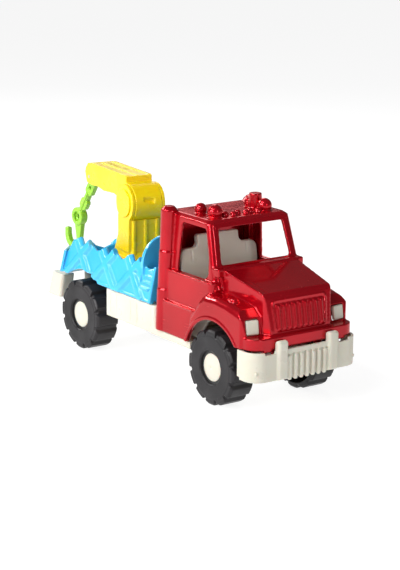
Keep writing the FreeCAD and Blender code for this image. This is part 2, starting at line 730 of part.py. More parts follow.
def cab_shell():
    arch_x = front_axle_x + arch_x_offset
    arch_cut = rod(arch_radius, V(arch_x, -90, arch_z), V(arch_x, 90, arch_z))
    lip = rod(arch_radius + 3.5, V(arch_x, fender_half_width - wall, arch_z),
              V(arch_x, fender_half_width + 0.8, arch_z))
    lip = lip.cut(arch_cut).common(block(cab_rear, front_axle_x + 48, 0, 90, cab_bottom, 120))
    fenders = union([fender(0).cut(arch_cut), lip] + marker_lamp())
    outer = cab_tiers(0) + [hood(0), front_ledge(0), fenders, mirrored(fenders)] + cowl_and_beads()
    inner = cab_tiers(wall) + [hood(wall), front_ledge(wall), fender(wall), mirrored(fender(wall))]
    shell = union(outer).cut(union(inner))
    for opening in [arch_cut] + cab_openings():
        shell = shell.cut(opening)
    shell = union([shell] + stack(-1) + stack(1) + grille() + roof_lamps() + bumper_tabs())
    shell = shell.cut(block(0, 300, -100, 100, 0, cab_bottom))
    shell = shell.cut(block(0, cab_rear, -100, 100, 0, 300))
    for side in (-1, 1):
        near = headlight_y - headlight_width / 2 - headlight_gap
        far = headlight_y + headlight_width / 2 + headlight_fit
        y = sorted((side * near, side * far))
        hole = block(hood_front_x - 16, hood_front_x + 20, y[0], y[1], headlight_low - headlight_fit,
                     headlight_low + headlight_height + headlight_fit)
        shell = shell.cut(rounded(hole, headlight_round, lambda m, d: abs(d.x) > 0.9))
    front_of_arch = front_axle_x + 38
    tab_room = ledge_bottom - bumper_notch_depth
    shell = shell.cut(block(front_of_arch, ledge_front - 2 * wall, -100, 100, 0, ledge_bottom))
    shell = shell.cut(block(front_of_arch, 300, -100, 100, 0, tab_room))
    bosses = []
    for x, y in cab_screw_places:
        top = cab_floor + 20 if x < front_axle_x else ledge_top + 9
        bosses.append(rod(screw_radius + screw_boss_wall, V(x, y, cab_floor), V(x, y, top)))
        if x < front_axle_x:
            bosses.append(block(cab_rear + 1, x - screw_radius - 1, y - 1.5, y + 1.5, cab_floor, top))
    shell = union([shell] + bosses)
    for x, y in cab_screw_places:
        shell = shell.cut(rod(screw_radius + run_gap, V(x, y, 0), V(x, y, cab_floor + screw_depth + 1)))
    return shell


def bumper_tabs():
    """Two tabs of the front ledge that reach down into the notches of the bumper."""
    tabs = []
    for side in (-1, 1):
        y = sorted((side * (bumper_notch[0] + 1), side * (bumper_notch[1] - 1)))
        tabs.append(block(ledge_front - 2 * wall, ledge_front - 0.2, y[0], y[1],
                          ledge_bottom - bumper_notch_depth, ledge_bottom + 1))
    return tabs


def headlight(side):
    """A square ivory lamp block with round edges, set in the front of a fender."""
    sink = headlight_depth * math.sin(math.radians(headlight_lean))
    lamp = block(-headlight_depth, 0, -headlight_width / 2, headlight_width / 2, 0, headlight_height - sink)
    lamp = rounded(lamp, headlight_round, lambda m, d: m.x > -0.1 or abs(d.x) > 0.9)
    lamp.rotate(V(0, 0, 0), V(0, 1, 0), -headlight_lean)
    lamp.rotate(V(0, 0, 0), V(0, 0, 1), headlight_sweep)
    lamp.translate(V(hood_front_x + 0.8, headlight_y, headlight_low + sink))
    return lamp if side > 0 else mirrored(lamp)


def seat():
    """The ivory interior: a tub with a bench and a backrest that rises in the middle."""
    low = cab_floor - 2
    back_x = seat_front - seat_thickness
    shoulders = block(back_x, seat_front, -seat_half_width, seat_half_width, tub_floor - 2, seat_shoulder)
    shoulders = rounded(shoulders, seat_shoulder_round,
                        lambda m, d: abs(d.x) > 0.9 and m.z > seat_shoulder - 1)
    crown = block(back_x, seat_front, -seat_crown_half_width, seat_crown_half_width, 100, seat_crown)
    crown = rounded(crown, seat_crown_round, lambda m, d: abs(d.x) > 0.9 and m.z > seat_crown - 1)
    back = union([shoulders, crown])
    back = rounded(back, seat_step_round, lambda m, d: abs(d.x) > 0.9 and abs(m.z - seat_shoulder) < 0.5
                   and abs(m.y) < seat_crown_half_width + 1)
    back = rounded(back, seat_edge_round, lambda m, d: abs(m.x - seat_front) < 0.1 and m.z > tub_top + 2)
    back.rotate(V(seat_front, 0, tub_top), V(0, 1, 0), -seat_lean)
    tub = block(back_x + 3, tub_front, -seat_half_width, seat_half_width, low, tub_top)
    room = block(back_x + 1, tub_front - wall, -seat_half_width + wall, seat_half_width - wall,
                 tub_floor, 200)
    under = block(back_x + 3 + wall, tub_front - wall, -seat_half_width + wall, seat_half_width - wall,
                  low - 1, tub_floor - wall)
    tub = tub.cut(room).cut(under)
    arch_x = front_axle_x + arch_x_offset
    tub = tub.cut(rod(arch_radius + 2 * gap, V(arch_x, -90, arch_z), V(arch_x, 90, arch_z)))
    slope = side_prism([(tub_front - 24, tub_top + 1), (tub_front + 1, tub_top + 1), (tub_front + 1, 96)],
                       -90, 90)
    tub = tub.cut(slope)
    cushion = block(seat_front, cushion_front, -seat_half_width + 2, seat_half_width - 2, tub_floor - 1,
                    cushion_top)
    cushion = rounded(cushion, cushion_round, lambda m, d: m.z > cushion_top - 1)
    shape = union([tub, back, cushion])
    inner_half = seat_half_width - 2 * wall
    shape = shape.cut(block(seat_front + 2 * wall, cushion_front - wall, -inner_half, inner_half, low,
                            cushion_top - wall))
    return shape.cut(block(0, seat_front - wall - 1, -inner_half, inner_half, tub_floor,
                           seat_shoulder - 10))


# ---- bed -------------------------------------------------------------------------------------
def strap(foot, head, inside, outside):
    """A flat-topped ridge between two points of a wall panel, on both of its faces."""
    run = V(head[0] - foot[0], 0, head[1] - foot[1])
    across = V(run.z, 0, -run.x).normalize()
    ends = [V(foot[0], 0, foot[1]), V(head[0], 0, head[1])]
    pieces = []
    for y, depth in ((0, outside), (-wall, -inside)):
        rings = []
        for level, width in ((y - math.copysign(wall / 2, depth), strap_width), (y, strap_width),
                             (y + depth, strap_crown)):
            side = across * (width / 2)
            corners = [ends[0] - side, ends[0] + side, ends[1] + side, ends[1] - side]
            rings.append(Part.makePolygon([V(p.x, level, p.z) for p in corners + corners[:1]]))
        pieces.append(Part.makeLoft(rings, True, True))
    return pieces


def crossed_wall(length, height, heads):
    """A wall panel in X and Z with crossed straps; each head is (X, direction to its foot, drop, run)."""
    crest = [(0, height - valley_depth)]
    for x, direction, drop, run in heads:
        crest += [(x, height - drop), (x + peak_pitch / 2, height - drop - valley_depth)]
    crest = [point for point in crest if point[0] < length] + [(length, height - valley_depth)]
    pieces = [side_prism(crest + [(length, 0), (0, 0)], -wall, 0)]
    for x, direction, drop, run in heads:
        pieces += strap((x + direction * run, 0), (x, height - drop), strap_inside, strap_proud)
    limit = block(0, length, -wall - strap_inside, strap_proud, 0, height + strap_width)
    return union([piece.common(limit) for piece in pieces])


def place_wall(panel, lean, turn, corner):
    """Lean a wall panel inward, turn it about the vertical and put its lower corner in place."""
    panel = panel.copy()
    panel.rotate(V(0, 0, 0), V(1, 0, 0), lean)
    panel.rotate(V(0, 0, 0), V(0, 0, 1), turn)
    panel.translate(corner)
    return panel


def side_wall():
    """The left side wall, with its crossed straps, steps and lip, in its leaning place."""
    rise = bed_wall_top - bed_bottom
    lean = math.degrees(math.atan2(bed_half_width_low - bed_half_width_high, rise))
    stretch = 1 / math.cos(math.radians(lean))
    start = bed_rear + bed_rear_chamfer
    heads = []
    for index, drop in enumerate(peak_drops):
        direction = 1 if index % 2 == 0 else -1
        heads.append((first_peak + index * peak_pitch - start, direction, drop + 2, strap_run))
    panel = crossed_wall(bed_front - start, rise * stretch, heads)
    top = rise * stretch
    edge = side_prism([(bed_front - start - 5, 0), (bed_front - start, 0), (bed_front - start, top - 3),
                       (bed_front - start - 4, top - 3)], -wall, step_proud)
    last = bed_front - start
    wedge = side_prism([(last - 41, top - 4), (last - 22, top - 1), (last - 24, top - 24)],
                       -wall, strap_proud)
    bottom = block(0, bed_front - start, -wall, bed_lip, 0, 2.5)
    arch = rod(bed_arch_radius + 3, V(bed_arch_x - start, -wall, (bed_arch_z - bed_bottom) * stretch),
               V(bed_arch_x - start, bed_lip, (bed_arch_z - bed_bottom) * stretch))
    arch = arch.common(block(0, bed_front - start, -wall, bed_lip, 0, top))
    pieces = [panel, edge, wedge, bottom, arch]
    for index in range(step_count):
        rear = step_rear + index * step_shift - start
        z = (step_low + index * step_rise - bed_bottom) * stretch
        front = min(rear + step_length, bed_front - start - 3)
        tread = block(rear, front, -wall, step_proud, z - step_height / 2, z + step_height / 2)
        pieces.append(tread)
    wall_piece = place_wall(union(pieces), lean, 0,
                            V(start, bed_half_width_low - strap_proud, bed_bottom))
    limit = side_prism([(start - 6, bed_bottom), (start + 8, 106), (start + 26, 140),
                        (bed_front, 140), (bed_front, bed_bottom)], -99, 99)
    return wall_piece.common(limit), lean


def bed():
    left, lean = side_wall()
    start = bed_rear + bed_rear_chamfer
    tail_width = 2 * (bed_half_width_low - bed_rear_chamfer)
    heads = []
    for index in range(4):
        x = tail_width * (0.125 + 0.25 * index)
        heads.append((x, 1 if index % 2 == 0 else -1, 3, 0.9 * tail_height))
    tail = crossed_wall(tail_width, tail_height, heads)
    tail = place_wall(tail, lean, 90, V(bed_rear + strap_proud, -tail_width / 2, bed_bottom))
    corner_length = math.hypot(bed_rear_chamfer, bed_rear_chamfer)
    corner = block(-2, corner_length + 2, -wall, 0, 0, tail_height)
    corner = place_wall(corner, lean, 45,
                        V(bed_rear + 2.5, bed_half_width_low - bed_rear_chamfer - 1, bed_bottom))
    left = left.fuse(corner)
    floor_half = bed_half_width_low - strap_proud - 1.5
    half_floor = [(bed_rear + strap_proud + 1, floor_half - bed_rear_chamfer + 3), (start, floor_half),
                  (bed_front, floor_half)]
    floor = plan_prism(half_floor + [(x, -y) for x, y in reversed(half_floor)], bed_bottom + 1.5, bed_floor)
    front = block(bed_front - wall, bed_front, -bed_half_width_high, bed_half_width_high, bed_bottom + 1.5,
                  bed_front_top)
    arch_low = V(bed_arch_x, -90, bed_arch_z)
    arch_high = V(bed_arch_x, 90, bed_arch_z)
    hump = rod(bed_arch_radius + wall, arch_low, arch_high)
    hump = hump.common(block(bed_rear, 0, -floor_half + 1.5, floor_half - 1.5, bed_bottom + 1.5, 120))
    pedestal = rod(pedestal_radius, V(crane_x, 0, bed_floor - 1), V(crane_x, 0, pedestal_top))
    shape = union([left, mirrored(left), tail, floor, front, hump, pedestal] + headboard())
    shape = shape.cut(rod(bed_arch_radius, arch_low, arch_high))
    shape = shape.cut(rod(pedestal_radius - wall, V(crane_x, 0, 0), V(crane_x, 0, pedestal_top - wall)))
    shape = shape.cut(rod(spigot_radius + run_gap, V(crane_x, 0, 0), V(crane_x, 0, 200)))
    for x, y in bed_screw_places:
        boss_top = bed_bottom + screw_depth + 3
        shape = shape.fuse(rod(screw_radius + screw_boss_wall, V(x, y, bed_bottom), V(x, y, boss_top)))
        shape = shape.cut(rod(screw_radius + run_gap, V(x, y, 0), V(x, y, bed_bottom + screw_depth + 1)))
    return shape.removeSplitter()


def headboard():
    """The upright board behind the cab, with its two large round corners."""
    front = headboard_x + headboard_thickness
    edge = headboard_half_width - headboard_corner
    shoulder = headboard_top - headboard_corner
    pieces = [block(headboard_x, front, -headboard_half_width, headboard_half_width, bed_floor - 1,
                    shoulder),
              block(headboard_x, front, -edge, edge, bed_floor, headboard_top)]
    for side in (-1, 1):
        pieces.append(rod(headboard_corner, V(headboard_x, side * edge, shoulder),
                          V(front, side * edge, shoulder)))
    return pieces


# ---- crane -----------------------------------------------------------------------------------
def on_crane(shape):
    """Move a shape drawn with the crane pointing straight back to its place and yaw."""
    shape = shape.copy()
    shape.rotate(V(0, 0, 0), V(0, 0, 1), crane_yaw)
    shape.translate(V(crane_x, 0, 0))
    return shape


def drum(radius, y0, y1):
    return rod(radius, V(elbow_x, y0, elbow_z), V(elbow_x, y1, elbow_z))


def crane_column():
    """The upright: a foot that turns on the pedestal, a ribbed column and two ears for the boom."""
    base = pedestal_top + gap
    shoulder = elbow_z - drum_radius + 10
    foot_top = base + foot_height
    trunk = block(column_rear, column_front, -column_half_width, column_half_width, base, shoulder)
    foot = side_prism([(foot_rear, base), (column_front + 5, base), (column_front, foot_top),
                       (column_rear, base + 2.4 * foot_height)],
                      -column_half_width - 1.5, column_half_width + 1.5)
    plate = rod(pedestal_radius - 1, V(0, 0, base), V(0, 0, base + 4))
    spigot = rod(spigot_radius, V(0, 0, pedestal_top - wall - gap), V(0, 0, base + 1))
    pieces = [trunk, foot, plate, spigot]
    for y in (-column_half_width + rib_half, 0, column_half_width - rib_half):
        pieces.append(block(column_front - 1, column_front + rib_proud, y - rib_half, y + rib_half,
                            foot_top - 2, shoulder - 6))
    for side in (-1, 1):
        y = sorted((side * (column_half_width - 1), side * (column_half_width + rib_proud)))
        for x in (column_rear + rib_half, (column_rear + column_front) / 2):
            pieces.append(block(x - rib_half, x + rib_half, y[0], y[1], foot_top, shoulder - 4))
    shape = union(pieces).cut(drum(drum_radius + gap, -60, 60))
    ears = []
    for side in (-1, 1):
        y = sorted((side * ear_inner, side * ear_outer))
        ear = drum(drum_radius - 0.5, y[0], y[1])
        flank = side * (column_half_width - 0.5)
        strut = side_prism([(column_rear + 3, foot_top), (column_front - 2, foot_top),
                            (elbow_x + 12, elbow_z - 14), (elbow_x - 14, elbow_z - 14)],
                           min(y[0], flank), max(y[1], flank))
        ears += [ear, strut]
    shape = union([shape] + ears)
    shape = shape.cut(drum(drum_radius + gap, -ear_inner, ear_inner))
    shape = shape.cut(drum(boom_pin_radius, -60, 60))
    shape = shape.cut(rod(screw_radius + run_gap, V(0, 0, 0), V(0, 0, pedestal_top + screw_depth - 3)))
    return on_crane(shape)


def boom_outline():
    """The side view of the boom, from its nose to the elbow; the wavy points are its underside."""
    top = boom_top
    root = elbow_x - 4
    return [(boom_tip + 3, top - 5), (boom_tip + 8, top), (root, top + 0.5), (root, elbow_z + 15),
            (elbow_x - 20, elbow_z + 1), (-37.5, 172.5), (-50, 172.0), (-66, 170.8), (-83.5, 173.2),
            (-98, 172), (-112, 173.5), (boom_tip, 186)]


def crane_boom():
    """The boom: a beam open below, with a ridged top and a drum that turns between the ears."""
    beam = side_prism(boom_outline(), -boom_half_width, boom_half_width)
    inner = boom_half_width - boom_wall
    ceiling = boom_top - boom_wall - 1
    beam = beam.cut(block(boom_tip - 5, -32, -inner, inner, 150, ceiling))
    nose = block(boom_tip - 1, boom_tip + 6, -inner - 1, inner + 1, nose_mouth_top, ceiling + 1)
    beam = beam.fuse(nose.common(side_prism(boom_outline(), -boom_half_width, boom_half_width)))
    pieces = [beam, drum(drum_radius, -drum_half_width, drum_half_width)]
    for y in (-boom_half_width + ridge_half, 0, boom_half_width - ridge_half):
        pieces.append(block(boom_tip + 16, elbow_x - 6, y - ridge_half, y + ridge_half, boom_top - 1,
                            boom_top + ridge_proud))
    shape = union(pieces)
    shape = shape.cut(drum(boom_pin_radius + run_gap, -60, 60))
    slot_x = elbow_x + drum_radius
    shape = shape.cut(rod(slot_radius, V(slot_x, -6, elbow_z + 7), V(slot_x, 7, elbow_z + 4)))
    pin_hole = rod(hook_pin_radius, V(hook_pin_x, -60, hook_pin_z), V(hook_pin_x, 60, hook_pin_z))
    return on_crane(shape.cut(pin_hole))


def boom_pin():
    return on_crane(drum(boom_pin_radius, -ear_outer, ear_outer))


def boom_cap(side):
    y = sorted((side * ear_outer, side * (ear_outer + cap_height)))
    cap = drum(cap_radius, y[0], y[1])
    cap = rounded(cap, cap_round, lambda m, d: side * m.y > ear_outer + cap_height - 0.1)
    return on_crane(cap)


def swivel_retainer():
    """The disc below the bed that keeps the crane on its pedestal."""
    top = pedestal_top - wall - gap
    disc = rod(retainer_radius, V(0, 0, top - retainer_thickness), V(0, 0, top))
    return on_crane(disc.cut(rod(screw_radius + screw_fit, V(0, 0, 0), V(0, 0, 200))))


def screw(x, y, head_bottom, length):
    head = rod(screw_head_radius, V(x, y, head_bottom), V(x, y, head_bottom + screw_head_height))
    shank = rod(screw_radius, V(x, y, head_bottom), V(x, y, head_bottom + length))
    long, short = screw_slot_half_length, screw_slot_half_width
    cross = block(x - long, x + long, y - short, y + short, head_bottom - 1, head_bottom + 1)
    cross = cross.fuse(block(x - short, x + short, y - long, y + long, head_bottom - 1, head_bottom + 1))
    return union([head, shank]).cut(cross)


def swivel_screw():
    head_top = pedestal_top - wall - gap - retainer_thickness
    length = screw_head_height + retainer_thickness + screw_depth
    return on_crane(screw(0, 0, head_top - screw_head_height, length))


def screws(places, seat_top):
    head_bottom = spine_bottom + 0.5
    length = seat_top + screw_depth - head_bottom
    return Part.makeCompound([screw(x, y, head_bottom, length) for x, y in places])


def hook_pin():
    return on_crane(rod(hook_pin_radius, V(hook_pin_x, -boom_half_width, hook_pin_z),
                        V(hook_pin_x, boom_half_width, hook_pin_z)))


def on_hook(shape):
    """Move a shape drawn with the pin at the origin and the truck's rear at -X to the boom's pin."""
    shape = shape.copy()
    shape.rotate(V(0, 0, 0), V(0, 0, 1), hook_twist)
    shape.translate(V(hook_pin_x, hook_offset, hook_pin_z))
    return on_crane(shape)


def tow_hook():
    """A moulded strap of two links, a pulley block and a hook, leaning back with its hook upright."""
    half = hook_thickness / 2
    link_one = block(-link_half, link_half, -half, half, link_low, link_top)
    link_one = rounded(link_one, link_round, lambda m, d: abs(d.y) > 0.9)
    link_one = link_one.cut(rod(hook_hole_radius, V(0, -9, 0), V(0, 9, 0)))
    link_one = link_one.cut(rod(link_hole, V(0, -9, link_hole_z), V(0, 9, link_hole_z)))
    neck = block(-link_half / 2, link_half / 2, -half, half, 6 - strap_length, link_low + wall)
    link_two = block(-link_half, link_half, -half, half, link_two_low, link_two_top)
    link_two = rounded(link_two, link_round, lambda m, d: abs(d.y) > 0.9)
    rib = block(-rib_half, rib_half, -half - rib_proud, half + rib_proud,
                link_two_low - wall, link_low + 2)
    strap_piece = union([link_one, neck, link_two, rib])
    strap_piece.rotate(V(0, 0, 0), V(0, 1, 0), hook_lean)
    angle = math.radians(hook_lean)
    px = -strap_length * math.sin(angle)
    pz = -strap_length * math.cos(angle)
    pulley = rod(pulley_radius, V(px, -half - pulley_proud, pz), V(px, half + pulley_proud, pz))
    pulley = rounded(pulley, pulley_proud - 0.2, lambda m, d: abs(m.y) > half)
    shank_low = pz - shank_length
    shank = side_prism([(px - 6.5, pz - 8), (px + 7.5, pz - 7), (px + 4, shank_low), (px - 3.5, shank_low)],
                       -half, half)
    outer = hook_throat + hook_bar
    centre_x = px + 0.25 - hook_throat - hook_bar / 2
    near = V(centre_x, -half, shank_low)
    far = V(centre_x, half, shank_low)
    ring = rod(outer, near, far).cut(rod(hook_throat, near, far))
    ring = ring.common(block(centre_x - 40, centre_x + 40, -9, 9, shank_low - 40, shank_low))
    tip = block(centre_x - outer, centre_x - hook_throat - 0.6, -half, half, shank_low - 1,
                shank_low + tip_height)
    tip = rounded(tip, tip_round, lambda m, d: m.z > shank_low + tip_height - 1)
    shape = union([strap_piece, pulley, shank, ring, tip])
    shape = shape.cut(rod(pulley_eye - pulley_proud, V(px, -20, pz), V(px, 20, pz)))
    for side in (-1, 1):
        shape = shape.cut(rod(pulley_eye, V(px, side * 20, pz), V(px, side * (half - pulley_proud), pz)))
    return on_hook(shape)


# ---- make every node -------------------------------------------------------------------------
save("chassis", chassis())
save("cab_shell", cab_shell())
save("seat", seat())
save("headlight_left", headlight(1))
save("headlight_right", headlight(-1))
save("bed", bed())
save("bed_screws", screws(bed_screw_places, bed_bottom))
save("cab_screws", screws(cab_screw_places, cab_floor))
for end_name, axle_x in (("front", front_axle_x), ("rear", rear_axle_x)):
    save("axle_" + end_name, axle(axle_x))
    for side_name, side in (("left", 1), ("right", -1)):
        place = "_" + end_name + "_" + side_name
        save("tyre" + place, tyre(axle_x, side))
        save("wheel_core" + place, wheel_core(axle_x, side))
        save("hubcap" + place, hubcap(axle_x, side))
save("crane_column", crane_column())
save("swivel_retainer", swivel_retainer())
save("swivel_screw", swivel_screw())
save("boom_pin", boom_pin())
save("boom_cap_left", boom_cap(1))
save("boom_cap_right", boom_cap(-1))
save("crane_boom", crane_boom())
save("hook_pin", hook_pin())
save("tow_hook", tow_hook())
write_all()
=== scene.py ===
import json
import math

import bpy
import numpy as np
from mathutils import Matrix, Vector


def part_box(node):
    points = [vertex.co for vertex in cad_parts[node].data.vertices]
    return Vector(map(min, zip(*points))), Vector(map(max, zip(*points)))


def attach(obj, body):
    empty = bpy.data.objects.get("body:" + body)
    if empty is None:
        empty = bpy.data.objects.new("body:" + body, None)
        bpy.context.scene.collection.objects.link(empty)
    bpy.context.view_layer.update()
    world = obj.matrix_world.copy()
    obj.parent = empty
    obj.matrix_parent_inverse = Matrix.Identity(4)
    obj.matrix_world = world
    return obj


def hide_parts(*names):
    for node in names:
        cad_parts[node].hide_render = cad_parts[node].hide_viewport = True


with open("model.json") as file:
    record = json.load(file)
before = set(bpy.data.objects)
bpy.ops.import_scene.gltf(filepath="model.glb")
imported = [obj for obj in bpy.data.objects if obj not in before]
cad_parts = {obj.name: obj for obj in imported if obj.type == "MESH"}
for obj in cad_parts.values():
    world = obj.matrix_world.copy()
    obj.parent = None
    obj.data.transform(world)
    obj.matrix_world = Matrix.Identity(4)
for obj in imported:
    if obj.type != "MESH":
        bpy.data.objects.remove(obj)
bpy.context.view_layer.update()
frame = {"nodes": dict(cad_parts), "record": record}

# Lengths below are millimetres in the truck's own frame: x = 0 midway between the axles, +x forward,
# +y to the truck's left, z = 0 on the ground. The axle rods say where that frame lies in the CAD frame.
front_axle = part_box("axle_front")
rear_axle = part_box("axle_rear")
middle_x = (front_axle[0].x + front_axle[1].x + rear_axle[0].x + rear_axle[1].x) / 4
MM = 0.001


def at(x, y, z):
    """A point in metres in the CAD frame, from millimetres in the truck's frame."""
    return Vector((middle_x + x * MM, y * MM, z * MM))


# ---- stage, light and camera ------------------------------------------------------------------
WORLD_LIGHT = 0.12
FLOOR_SIZE = 80
FLOOR_DROP = 0.0004             # the floor lies this far below the tyres
FLOOR_WHITE = 0.25
FLOOR_ROUGHNESS = 0.9
FLOOR_GLOW = 0.88
LIGHT_TARGET = (0, 0, 0.1)


def shader(name, colour, roughness, **sockets):
    material = bpy.data.materials.new(name)
    material.use_nodes = True
    surface = material.node_tree.nodes["Principled BSDF"]
    surface.inputs["Base Color"].default_value = (*colour, 1)
    surface.inputs["Roughness"].default_value = roughness
    for socket, value in sockets.items():
        surface.inputs[socket.replace("_", " ")].default_value = value
    return material


def make_stage():
    bpy.ops.mesh.primitive_plane_add(size=FLOOR_SIZE, location=(0, 0, -FLOOR_DROP))
    floor = bpy.context.object
    floor.name = "floor"
    floor.data.materials.append(shader("floor_paper", (FLOOR_WHITE,) * 3, FLOOR_ROUGHNESS,
                                       Emission_Color=(1, 1, 1, 1), Emission_Strength=FLOOR_GLOW))
    world = bpy.data.worlds.new("studio")
    bpy.context.scene.world = world
    world.use_nodes = True
    world.node_tree.nodes["Background"].inputs["Color"].default_value = (1, 1, 1, 1)
    world.node_tree.nodes["Background"].inputs["Strength"].default_value = WORLD_LIGHT
    bpy.context.scene.view_settings.view_transform = "Standard"


def area_light(name, place, size, power):
    light = bpy.data.lights.new(name, "AREA")
    light.shape = "RECTANGLE"
    light.size, light.size_y = size
    light.energy = power
    lamp = bpy.data.objects.new(name, light)
    bpy.context.scene.collection.objects.link(lamp)
    lamp.location = place
    lamp.rotation_euler = (Vector(LIGHT_TARGET) - Vector(place)).to_track_quat("-Z", "Y").to_euler()


def make_lights():
    area_light("side_softbox", (0.15, -1.7, 0.75), (1.6, 0.35), 26)
    area_light("edge_strip", (0.1, -1.1, 1.5), (1.5, 0.14), 18)
    area_light("rim_strip", (-1.6, -0.55, 1.15), (0.9, 0.2), 12)
    area_light("front_strip", (1.9, 0.1, 0.65), (0.12, 0.6), 5)
    area_light("rear_softbox", (-1.5, 0.9, 1.1), (0.7, 0.7), 6)


CAMERA_PLACE = (1506.6, -1067.3, 551.6)
CAMERA_AZIMUTH = 54.386
CAMERA_ELEVATION = 13.980
CAMERA_ROLL = -0.498
CAMERA_LENS = 109.07
CAMERA_SHIFT = -0.00326


def make_camera():
    camera = bpy.data.cameras.new("camera")
    camera.lens = CAMERA_LENS
    camera.sensor_width = 36
    camera.shift_x = CAMERA_SHIFT
    holder = bpy.data.objects.new("camera", camera)
    bpy.context.scene.collection.objects.link(holder)
    turn = Matrix.Rotation(math.radians(CAMERA_AZIMUTH), 4, "Z")
    tilt = Matrix.Rotation(math.radians(90 - CAMERA_ELEVATION), 4, "X")
    roll = Matrix.Rotation(math.radians(-CAMERA_ROLL), 4, "Z")
    holder.matrix_world = Matrix.Translation(at(*CAMERA_PLACE)) @ turn @ tilt @ roll
    bpy.context.scene.camera = holder


make_stage()
make_lights()
make_camera()


# ---- materials --------------------------------------------------------------------------------
# Noise scales are per metre: a scale of 100 gives features about 10 mm across.
DRIFT_SCALE = 11
PATCH_SCALE = 90
SMUDGE_SCALE = 45
HAIR_SCALE = 260
HAIR_STRETCH = (0.15, 1.0, 4.0)
HAIR_SHARE = (0.66, 0.72)       # only this top slice of the noise becomes hairlines
PEEL_SCALE = 160
PEEL_DEPTH = 0.0003
GRAIN_SCALE = 1500
GRAIN_DEPTH = 0.0002
TYRE_CLOUD_SCALE = 24
TYRE_DUST_SCALE = 120
TYRE_SHEEN_SCALE = 60
TYRE_GRAIN_SCALE = 1300
STEEL_LINE_SCALE = 900
STEEL_DULL_SCALE = 70


class Nodes:
    """Shorthand for building one material's node tree."""

    def __init__(self, material):
        self.tree = material.node_tree
        self.surface = self.tree.nodes["Principled BSDF"]
        self.place = self.tree.nodes.new("ShaderNodeTexCoord").outputs["Object"]

    def add(self, kind, inputs, **settings):
        node = self.tree.nodes.new(kind)
        for name, value in settings.items():
            setattr(node, name, value)
        for name, value in inputs.items():
            if isinstance(value, bpy.types.NodeSocket):
                self.tree.links.new(value, node.inputs[name])
            else:
                node.inputs[name].default_value = value
        return node

    def stretched(self, scale):
        return self.add("ShaderNodeMapping", {"Vector": self.place, "Scale": scale}).outputs["Vector"]

    def noise(self, scale, detail, vector=None):
        return self.add("ShaderNodeTexNoise", {"Vector": vector or self.place, "Scale": scale,
                                               "Detail": detail}).outputs["Fac"]

    def mapped(self, value, low, high, to_low, to_high):
        return self.add("ShaderNodeMapRange", {"Value": value, "From Min": low, "From Max": high,
                                               "To Min": to_low, "To Max": to_high}).outputs["Result"]

    def mix(self, share, first, second):
        return self.add("ShaderNodeMixRGB", {"Fac": share, "Color1": first,
                                             "Color2": second}).outputs["Color"]

    def times(self, first, second):
        return self.add("ShaderNodeMath", {0: first, 1: second}, operation="MULTIPLY").outputs[0]

    def plus(self, first, second):
        return self.add("ShaderNodeMath", {0: first, 1: second}, operation="ADD").outputs[0]

    def bump(self, height, strength, distance, below=None):
        inputs = {"Height": height, "Strength": strength, "Distance": distance}
        if below:
            inputs["Normal"] = below
        return self.add("ShaderNodeBump", inputs).outputs["Normal"]

    def feed(self, socket, value):
        self.tree.links.new(value, self.surface.inputs[socket])


def plastic(name, colour, deep, edge, roughness, grain=0.05, peel=0.05, wear_and_highlight=0.35, **sockets):
    """Moulded plastic: colour drift, paler edges that stand for rubbing and for a painted highlight, smudges,
    hairline scratches and fine grain.

    deep is the colour where the moulding is thick, edge the paler colour of convex edges, partly rubbed wear
    and partly a painted highlight.
    """
    material = shader(name, colour, roughness, **sockets)
    nodes = Nodes(material)
    drift = nodes.mapped(nodes.noise(DRIFT_SCALE, 3), 0.35, 0.65, 0.0, 1.0)
    body = nodes.mix(drift, (*colour, 1), (*deep, 1))
    # convex edges are paled by pointiness: partly rubbed wear, partly a painted highlight
    ridge = nodes.tree.nodes.new("ShaderNodeNewGeometry").outputs["Pointiness"]
    rubbed_and_highlit = nodes.mapped(ridge, 0.53, 0.62, 0.0, wear_and_highlight)
    patchy = nodes.times(rubbed_and_highlit, nodes.mapped(nodes.noise(PATCH_SCALE, 4), 0.4, 0.6, 0.3, 1.0))
    body = nodes.mix(patchy, body, (*edge, 1))
    nodes.feed("Base Color", body)
    smudge = nodes.mapped(nodes.noise(SMUDGE_SCALE, 5), 0.35, 0.7, roughness * 0.8, roughness * 1.35)
    hairs = nodes.noise(HAIR_SCALE, 2, nodes.stretched(HAIR_STRETCH))
    scratch = nodes.mapped(hairs, *HAIR_SHARE, 0.0, roughness * 0.3)
    nodes.feed("Roughness", nodes.plus(smudge, scratch))
    waves = nodes.bump(nodes.noise(PEEL_SCALE, 2), peel, PEEL_DEPTH)
    fine = nodes.bump(nodes.noise(GRAIN_SCALE, 2), grain, GRAIN_DEPTH, waves)
    nodes.feed("Normal", fine)
    return material


def tyre_plastic():
    """Satin black moulding: cloudy bloom, paler lug edges (dust and rubbing, plus a painted highlight) and a
    fine spark-eroded grain.
    """
    black = (0.012, 0.011, 0.012)
    bloom = (0.024, 0.022, 0.024)
    material = shader("tyre_satin", black, 0.45, IOR=1.36)
    nodes = Nodes(material)
    cloud = nodes.mapped(nodes.noise(TYRE_CLOUD_SCALE, 5), 0.35, 0.7, 0.0, 1.0)
    body = nodes.mix(cloud, (*black, 1), (*bloom, 1))
    # convex lug edges are paled by pointiness: partly dust and rubbing, partly a painted highlight
    ridge = nodes.tree.nodes.new("ShaderNodeNewGeometry").outputs["Pointiness"]
    rubbed_and_highlit = nodes.times(nodes.mapped(ridge, 0.52, 0.6, 0.0, 0.5),
                         nodes.mapped(nodes.noise(TYRE_DUST_SCALE, 4), 0.4, 0.6, 0.2, 1.0))
    body = nodes.mix(rubbed_and_highlit, body, (0.07, 0.066, 0.07, 1))
    nodes.feed("Base Color", body)
    nodes.feed("Roughness", nodes.mapped(nodes.noise(TYRE_SHEEN_SCALE, 4), 0.3, 0.7, 0.36, 0.52))
    grain = nodes.bump(nodes.noise(TYRE_GRAIN_SCALE, 3), 0.22, PEEL_DEPTH)
    nodes.feed("Normal", grain)
    return material


